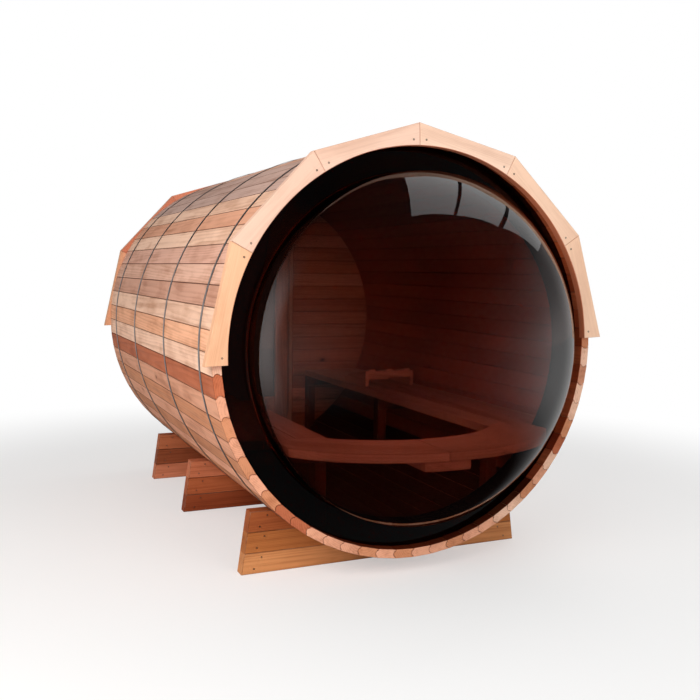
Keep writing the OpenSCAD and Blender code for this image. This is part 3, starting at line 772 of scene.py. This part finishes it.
# end wall of level boards
wall = {"recess": 0.030, "thickness": 0.038, "door": 0.610, "sill": 0.114, "board": 0.092, "vee": 0.004,
        "lintel": 0.066, "crown": 0.004,
        "tones": [ink(232, 184, 150), ink(222, 166, 130), ink(240, 196, 164), ink(210, 150, 114)]}
wallOut = barrelLength - wall["recess"]
wallIn = wallOut - wall["thickness"]
wallEdge = innerRadius + bubble["flangeEdge"]
doorHalf = wall["door"] / 2
doorTall = innerRadius - wall["sill"]


def wallBoard(stack, low, high, inside=None):  # with no inside the board runs right across
    rim = [(chord(wallEdge, z), z) for z in between(low, high, 5)]
    tone = tint(dice.choice(wall["tones"]))
    if inside is None:
        outlines = [bothSides(rim)]
    else:
        right = rim + [(inside, high), (inside, low)]
        outlines = [right, flipped(right)]
    for outline in outlines:
        addBoard(stack, outline, axisPlace, (wallIn, wallOut), levelGrain, tone, wall["vee"], spread=0)


stack = newStack()
besideCount = round(2 * doorTall / wall["board"])
besideHeight = 2 * doorTall / besideCount
for i in range(besideCount):
    wallBoard(stack, -doorTall + i * besideHeight, -doorTall + (i + 1) * besideHeight, doorHalf)
lintelTop = doorTall + wall["lintel"]
for sign in (-1, 1):
    for low, high in ((doorTall, lintelTop), (lintelTop, wallEdge - wall["crown"])):
        wallBoard(stack, *sorted((sign * low, sign * high)))
makeBoards(stack, "end_wall", wallCedar)

# doorway lining, casing and door
door = {"jamb": 0.025, "clearance": 0.004, "stile": 0.092, "bottomRail": 0.180, "casing": 0.070,
        "casingThick": 0.019, "reveal": 0.006, "thickness": 0.038, "bevel": 0.003, "trimBevel": 0.002,
        "tone": ink(226, 176, 138), "casingTone": ink(238, 200, 164)}
clearHalf, clearTall = doorHalf - door["jamb"], doorTall - door["jamb"]
leafHalf, leafTall = clearHalf - door["clearance"], clearTall - door["clearance"]


def makeDoorPart(boards, span, tone, bevel, node, material, fineEdge=0.004):
    stack = newStack()
    for outline, axes in boards:
        addBoard(stack, outline, axisPlace, span, axes, tone, bevel, fineEdge=fineEdge)
    makeBoards(stack, node, material)


jambs = []
wide, tall = clearHalf - fitGap, doorTall - fitGap
for side in (-1, 1):
    jambs += [(rectangle(side * clearHalf, -tall, side * (doorHalf - fitGap), tall), standingGrain),
              (rectangle(-wide, side * clearTall, wide, side * tall), levelGrain)]
makeDoorPart(jambs, (wallIn, wallOut), door["casingTone"], door["trimBevel"], "door_jambs", fasciaCedar)

casingIn, casingTall = clearHalf + door["reveal"], clearTall + door["reveal"]
casingOut, casingTop = casingIn + door["casing"], casingTall + door["casing"]
rimLimit = fasciaInner - fitGap
doorFace = wallOut + door["casingThick"]
leg = [(casingIn, casingTall - fitGap), (casingOut, casingTall - fitGap)]
leg += [(x, -chord(rimLimit, x)) for x in between(casingOut, casingIn, 5)]  # cut to the barrel's curve
sillEnd = casingIn - fitGap
sillSide = [(sillEnd, -casingTall), (sillEnd, -chord(rimLimit, sillEnd)),
            (chord(rimLimit, casingTop), -casingTop)]
headSide = [(min(casingOut, chord(rimLimit, z)), z) for z in between(casingTall, casingTop, 4)]
casing = [(flipped(leg), standingGrain), (leg, standingGrain), (bothSides(sillSide), levelGrain),
          (bothSides(headSide), levelGrain)]
makeDoorPart(casing, (wallOut, doorFace), door["casingTone"], door["trimBevel"], "door_casing", fasciaCedar,
             fineEdge=0)

doorBack = doorFace - door["thickness"]
paneHalf, paneHigh = leafHalf - door["stile"], leafTall - door["stile"]
paneLow = door["bottomRail"] - leafTall
leaf = [(rectangle(side * paneHalf, -leafTall, side * leafHalf, leafTall), standingGrain) for side in (-1, 1)]
leaf += [(rectangle(fitGap - paneHalf, low, paneHalf - fitGap, high), levelGrain)
         for low, high in ((-leafTall, paneLow), (paneHigh, leafTall))]
makeDoorPart(leaf, (doorBack, doorFace), door["tone"], door["bevel"], "door_leaf", wallCedar)

# pull handles, turned from cedar
handle = {"length": 0.420, "radius": 0.015, "gap": 0.014, "post": 0.011, "inset": 0.070, "sides": 24,
          "bevel": 0.004, "postBevel": 0.001, "tone": ink(214, 156, 116)}
stack = newStack()
handleX = door["stile"] / 2 - leafHalf
half = handle["length"] / 2
for face, way in ((doorFace, 1), (doorBack, -1)):
    centre = fromRim(handleX, face + way * (handle["gap"] + handle["radius"]), 0)
    addBoard(stack, circle(handle["radius"], handle["sides"]), (centre, axisX, axisY, upright), (-half, half),
             standingGrain, handle["tone"], handle["bevel"], fineEdge=0)
    for end in (-1, 1):
        foot = fromRim(handleX, face, end * (half - handle["inset"]))
        addBoard(stack, circle(handle["post"], handle["sides"]), (foot, axisX, upright, axisY * way),
                 (0, handle["gap"] + handle["radius"] / 2), (axisY, axisX, upright), handle["tone"],
                 handle["postBevel"], fineEdge=0)
makeBoards(stack, "door_handles", benchCedar)
print("door made")

# finishes for the pieces that keep their shape
for name, material in (("door_pane", bronzeGlass), ("door_hinges", hingeSteel)):
    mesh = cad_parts[name].data
    for i in range(len(mesh.materials)):
        mesh.materials[i] = material

# screws with a square drive
screw = {"radius": 0.0042, "rise": 0.0007, "drive": 0.0016, "sunk": 0.0012, "under": 0.0006, "sides": 16}


def addScrew(stack, place, outward):
    across = outward.orthogonal().normalized()
    other = outward.cross(across)
    start, sides = len(stack["points"]), screw["sides"]
    ring = circle(1, sides)
    square = [(x / max(abs(x), abs(y)), y / max(abs(x), abs(y))) for x, y in ring]
    radius, rise, drive = screw["radius"], screw["rise"], screw["drive"]
    layers = [(ring, radius, -screw["under"]), (ring, radius, rise * 0.5), (ring, radius * 0.82, rise),
              (square, drive, rise), (square, drive * 0.8, rise - screw["sunk"])]
    for shape, size, lift in layers:
        stack["points"] += [place + across * (x * size) + other * (y * size) + outward * lift
                            for x, y in shape]
    for layer in range(len(layers) - 1):
        here = start + layer * sides
        for k in range(sides):
            j = (k + 1) % sides
            stack["faces"].append((here + k, here + j, here + sides + j, here + sides + k))
    last = start + (len(layers) - 1) * sides
    stack["faces"].append(tuple(range(last, last + sides)))


def makeScrews(stack, name):
    addPiece(name, stack["points"], stack["faces"], screwSteel)


stack = newStack()
radius = fasciaInner + fascia["screwRise"]
for distance, outward in ((-fascia["thickness"], -axisY), (barrelLength + fascia["thickness"], axisY)):
    for i in range(fascia["boards"]):
        for side in (-1, 1):
            angle = turn + (2 * i + 1) * fasciaHalf + side * (fasciaHalf - fascia["screwTurn"])
            addScrew(stack, fromRim(0, distance, 0) + spoke(angle)[0] * radius, outward)
makeScrews(stack, "fascia_screws")

stack = newStack()
for name in cradle["tones"]:
    low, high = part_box(name)
    for i in range(cradle["boards"]):
        z = (i + 0.5) * cradle["height"]
        for side in (-1, 1):
            for inset, rise in cradle["screws"]:
                x = side * (cradle["length"] / 2 - z * lean - inset)
                addScrew(stack, Vector((x, low.y, z + rise)), -axisY)
                addScrew(stack, Vector((x, high.y, z + rise)), axisY)
makeScrews(stack, "cradle_screws")

hinge = {"height": 0.090, "thickness": 0.003, "screwInset": 0.024, "screws": (0.015, 0.045, 0.075)}
stack = newStack()
hingeLow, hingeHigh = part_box("door_hinges")
hingeMiddle = (hingeLow.x + hingeHigh.x) / 2
for foot in (hingeLow.z, hingeHigh.z - hinge["height"]):
    for side in (-1, 1):
        for rise in hinge["screws"]:
            addScrew(stack, Vector((hingeMiddle + side * hinge["screwInset"],
                                    frontY + doorFace + hinge["thickness"], foot + rise)), axisY)
makeScrews(stack, "hinge_screws")
print("screws made")

# camera
camera = {"place": (-1.792, -4.2095, 1.331), "yaw": 24.421, "pitch": -5.305, "roll": 0.894, "lens": 44.16}
yaw, pitch, roll = (math.radians(camera[key]) for key in ("yaw", "pitch", "roll"))
ahead = Vector((math.sin(yaw) * math.cos(pitch), math.cos(yaw) * math.cos(pitch), math.sin(pitch)))
right = Vector((math.cos(yaw), -math.sin(yaw), 0))
over = right.cross(ahead)
side = right * math.cos(roll) + over * math.sin(roll)
top = over * math.cos(roll) - right * math.sin(roll)
lens = bpy.data.cameras.new("camera")
lens.lens = camera["lens"]
lens.sensor_width = 36
stand = bpy.data.objects.new("camera", lens)
scene.collection.objects.link(stand)
turned = Matrix((side, top, -ahead)).transposed().to_4x4()
stand.matrix_world = Matrix.Translation(Vector(camera["place"])) @ turned
scene.camera = stand


def addBackdrop(name, points, faces, material, surface, unseenBy):
    feed(surface, material.node_tree.nodes["Material Output"].inputs["Surface"])
    mesh = bpy.data.meshes.new(name)
    mesh.from_pydata(points, [], faces)
    mesh.materials.append(material)
    piece = bpy.data.objects.new(name, mesh)
    scene.collection.objects.link(piece)
    for rays in unseenBy:
        setattr(piece, "visible_" + rays, False)


def glowing(tree, strength):
    return addNode(tree, "Emission", {"Color": (1, 1, 1, 1), "Strength": strength}).outputs[0]


# floor, white away from the part's shadow
studio = {"floor": 0.94, "floorSize": 60.0, "floorDrop": 0.0005, "shadowReach": (2.2, 4.4),
          "shadowLift": 0.45, "floorThroughGlass": 0.05, "fill": 0.42, "front": 0.04, "sides": 0.74,
          "leftPanel": 1.5, "cabin": (1.0, 15.0, 4.0)}
floorPaint, tree, shader = newMaterial("floorPaint")
shader["Base Color"].default_value = (studio["floor"],) * 3 + (1,)
shader["Roughness"].default_value = 1.0
shader["Specular IOR Level"].default_value = 0.0
away = vectorMaths("LENGTH", addNode(tree, "NewGeometry").outputs["Position"])
away = smooth(away, *studio["shadowReach"], studio["shadowLift"], 1.0)
path = addNode(tree, "LightPath").outputs
looked = maths("MAXIMUM", path["Is Camera Ray"], path["Is Transmission Ray"])
turnedBack = maths("MINIMUM", maths("MAXIMUM", path["Diffuse Depth"], path["Glossy Depth"]), 1.0)
turnedBack = times(turnedBack, path["Is Transmission Ray"])  # light on its way into the cabin
white = glowing(tree, smooth(turnedBack, 0.0, 1.0, 1.0, studio["floorThroughGlass"]))
blended = addNode(tree, "MixShader", {
    0: times(maths("MAXIMUM", away, turnedBack), looked),
    1: tree.nodes["Principled BSDF"].outputs[0], 2: white}).outputs[0]
reach = studio["floorSize"] / 2
corners = [(x, y, -studio["floorDrop"]) for x, y in rectangle(-reach, -reach, reach, reach)]
addBackdrop("studio_floor", corners, [(0, 1, 2, 3)], floorPaint, blended, ["glossy"])

# bright panes that only the bubble and the metal reflect
panes = {"height": 4.2, "depth": 5.0, "slants": [(0.31, 0.39), (0.40, 0.46), (0.44, 0.50)],
         "levels": (1.4, 0.68), "spread": (0.5, 6.0),
         "fronts": [((0.14, -1.85), (1.37, -1.69)), ((1.47, -1.68), (3.24, -1.20)),
                    ((3.54, -1.05), (7.38, 0.97))]}
corners = []
for (first, second), (left, right) in zip(panes["fronts"], panes["slants"]):
    for (x, y), slant, back in ((first, left, 0), (second, right, 0), (second, right, panes["depth"]),
                                (first, left, panes["depth"])):
        corners.append((x + back * slant, y + back, panes["height"]))
paneGlow, tree, shader = newMaterial("paneGlow")
sideways = partsOf(addNode(tree, "NewGeometry").outputs["Position"])["X"]
addBackdrop("sky_panes", corners, [(4 * i, 4 * i + 3, 4 * i + 2, 4 * i + 1) for i in range(3)], paneGlow,
            glowing(tree, smooth(sideways, *panes["spread"], *panes["levels"])),
            ["camera", "diffuse", "transmission", "shadow"])


# lamps
def makeLamp(name, place, target, size, level, colour=(1, 1, 1), spread=180):
    lamp = bpy.data.lights.new(name, "AREA")
    lamp.spread = math.radians(spread)
    lamp.shape = "RECTANGLE"
    lamp.size, lamp.size_y = size
    lamp.energy = level * math.pi * size[0] * size[1]
    lamp.color = colour
    stand = bpy.data.objects.new(name, lamp)
    stand.location = place
    stand.rotation_euler = (Vector(target) - Vector(place)).to_track_quat("-Z", "Y").to_euler()
    stand.visible_camera = False
    stand.visible_transmission = False
    stand.visible_glossy = False
    scene.collection.objects.link(stand)


makeLamp("key_softbox", (-3.3, -3.4, 2.8), (-0.4, -0.7, 0.9), (2.6, 2.2), 8.2, (1.0, 0.97, 0.94))
makeLamp("top_softbox", (2.2, 1.0, 4.6), (0.2, 0.1, 0.9), (3.0, 3.0), 1.6)
makeLamp("front_softbox", (1.2, -6.2, 2.6), (0.0, -0.9, 0.9), (3.0, 2.2), 3.2)
makeLamp("cabin_lamp", (0.15, 0.3, axisZ + 0.3), (0.45, 1.4, axisZ - 0.1), (0.8, 0.6), 0.36,
         (1.0, 0.86, 0.74), 80)

# world: white when looked at, dark in front and overhead when mirrored, with a bright panel on the left
world = bpy.data.worlds.new("studio")
scene.world = world
world.use_nodes = True
tree = world.node_tree
background = tree.nodes["Background"].inputs
path = addNode(tree, "LightPath").outputs
sideways, along, upward = partsOf(addNode(tree, "TexCoord").outputs["Generated"])
bright = smooth(along, -1.0, -0.1, studio["front"], studio["sides"])
panel = smooth(along, -0.12, 0.06, 0.0, studio["leftPanel"])
for fade in ((sideways, -0.6, 0.4, 0.5, 1.0), (along, -0.1, 0.3, 1.0, 0.62), (upward, -0.05, 0.25, 1.0, 0.42),
             (upward, 0.2, 0.6, 1.0, 0.12), (upward, -0.62, -0.2, 0.0, 1.0)):
    bright = times(bright, smooth(*fade))
for fade in ((sideways, -0.9, -0.6, 1.0, 0.0), (upward, 0.2, 0.7, 1.0, 0.1),
             (upward, -0.6, -0.05, 0.15, 1.0)):
    panel = times(panel, smooth(*fade))
mirrored = maths("MINIMUM", path["Glossy Depth"], 1.0)  # also rays off the inner face of the acrylic
seen = maths("MAXIMUM", path["Is Camera Ray"], path["Is Transmission Ray"])
seen = times(seen, maths("SUBTRACT", 1.0, mirrored))
level = mixValue(mirrored, studio["fill"], plus(bright, panel))
# daylight that reaches the cabin through the glass
low, middle, high = studio["cabin"]
daylight = maths("MINIMUM", smooth(upward, -0.05, 0.16, low, middle), smooth(upward, 0.4, 0.8, middle, high))
white = mixValue(maths("MINIMUM", path["Diffuse Depth"], 1.0), 1.0, daylight)
feed(mixValue(seen, level, white), background["Strength"])
background["Color"].default_value = (1, 1, 1, 1)
print("studio made")
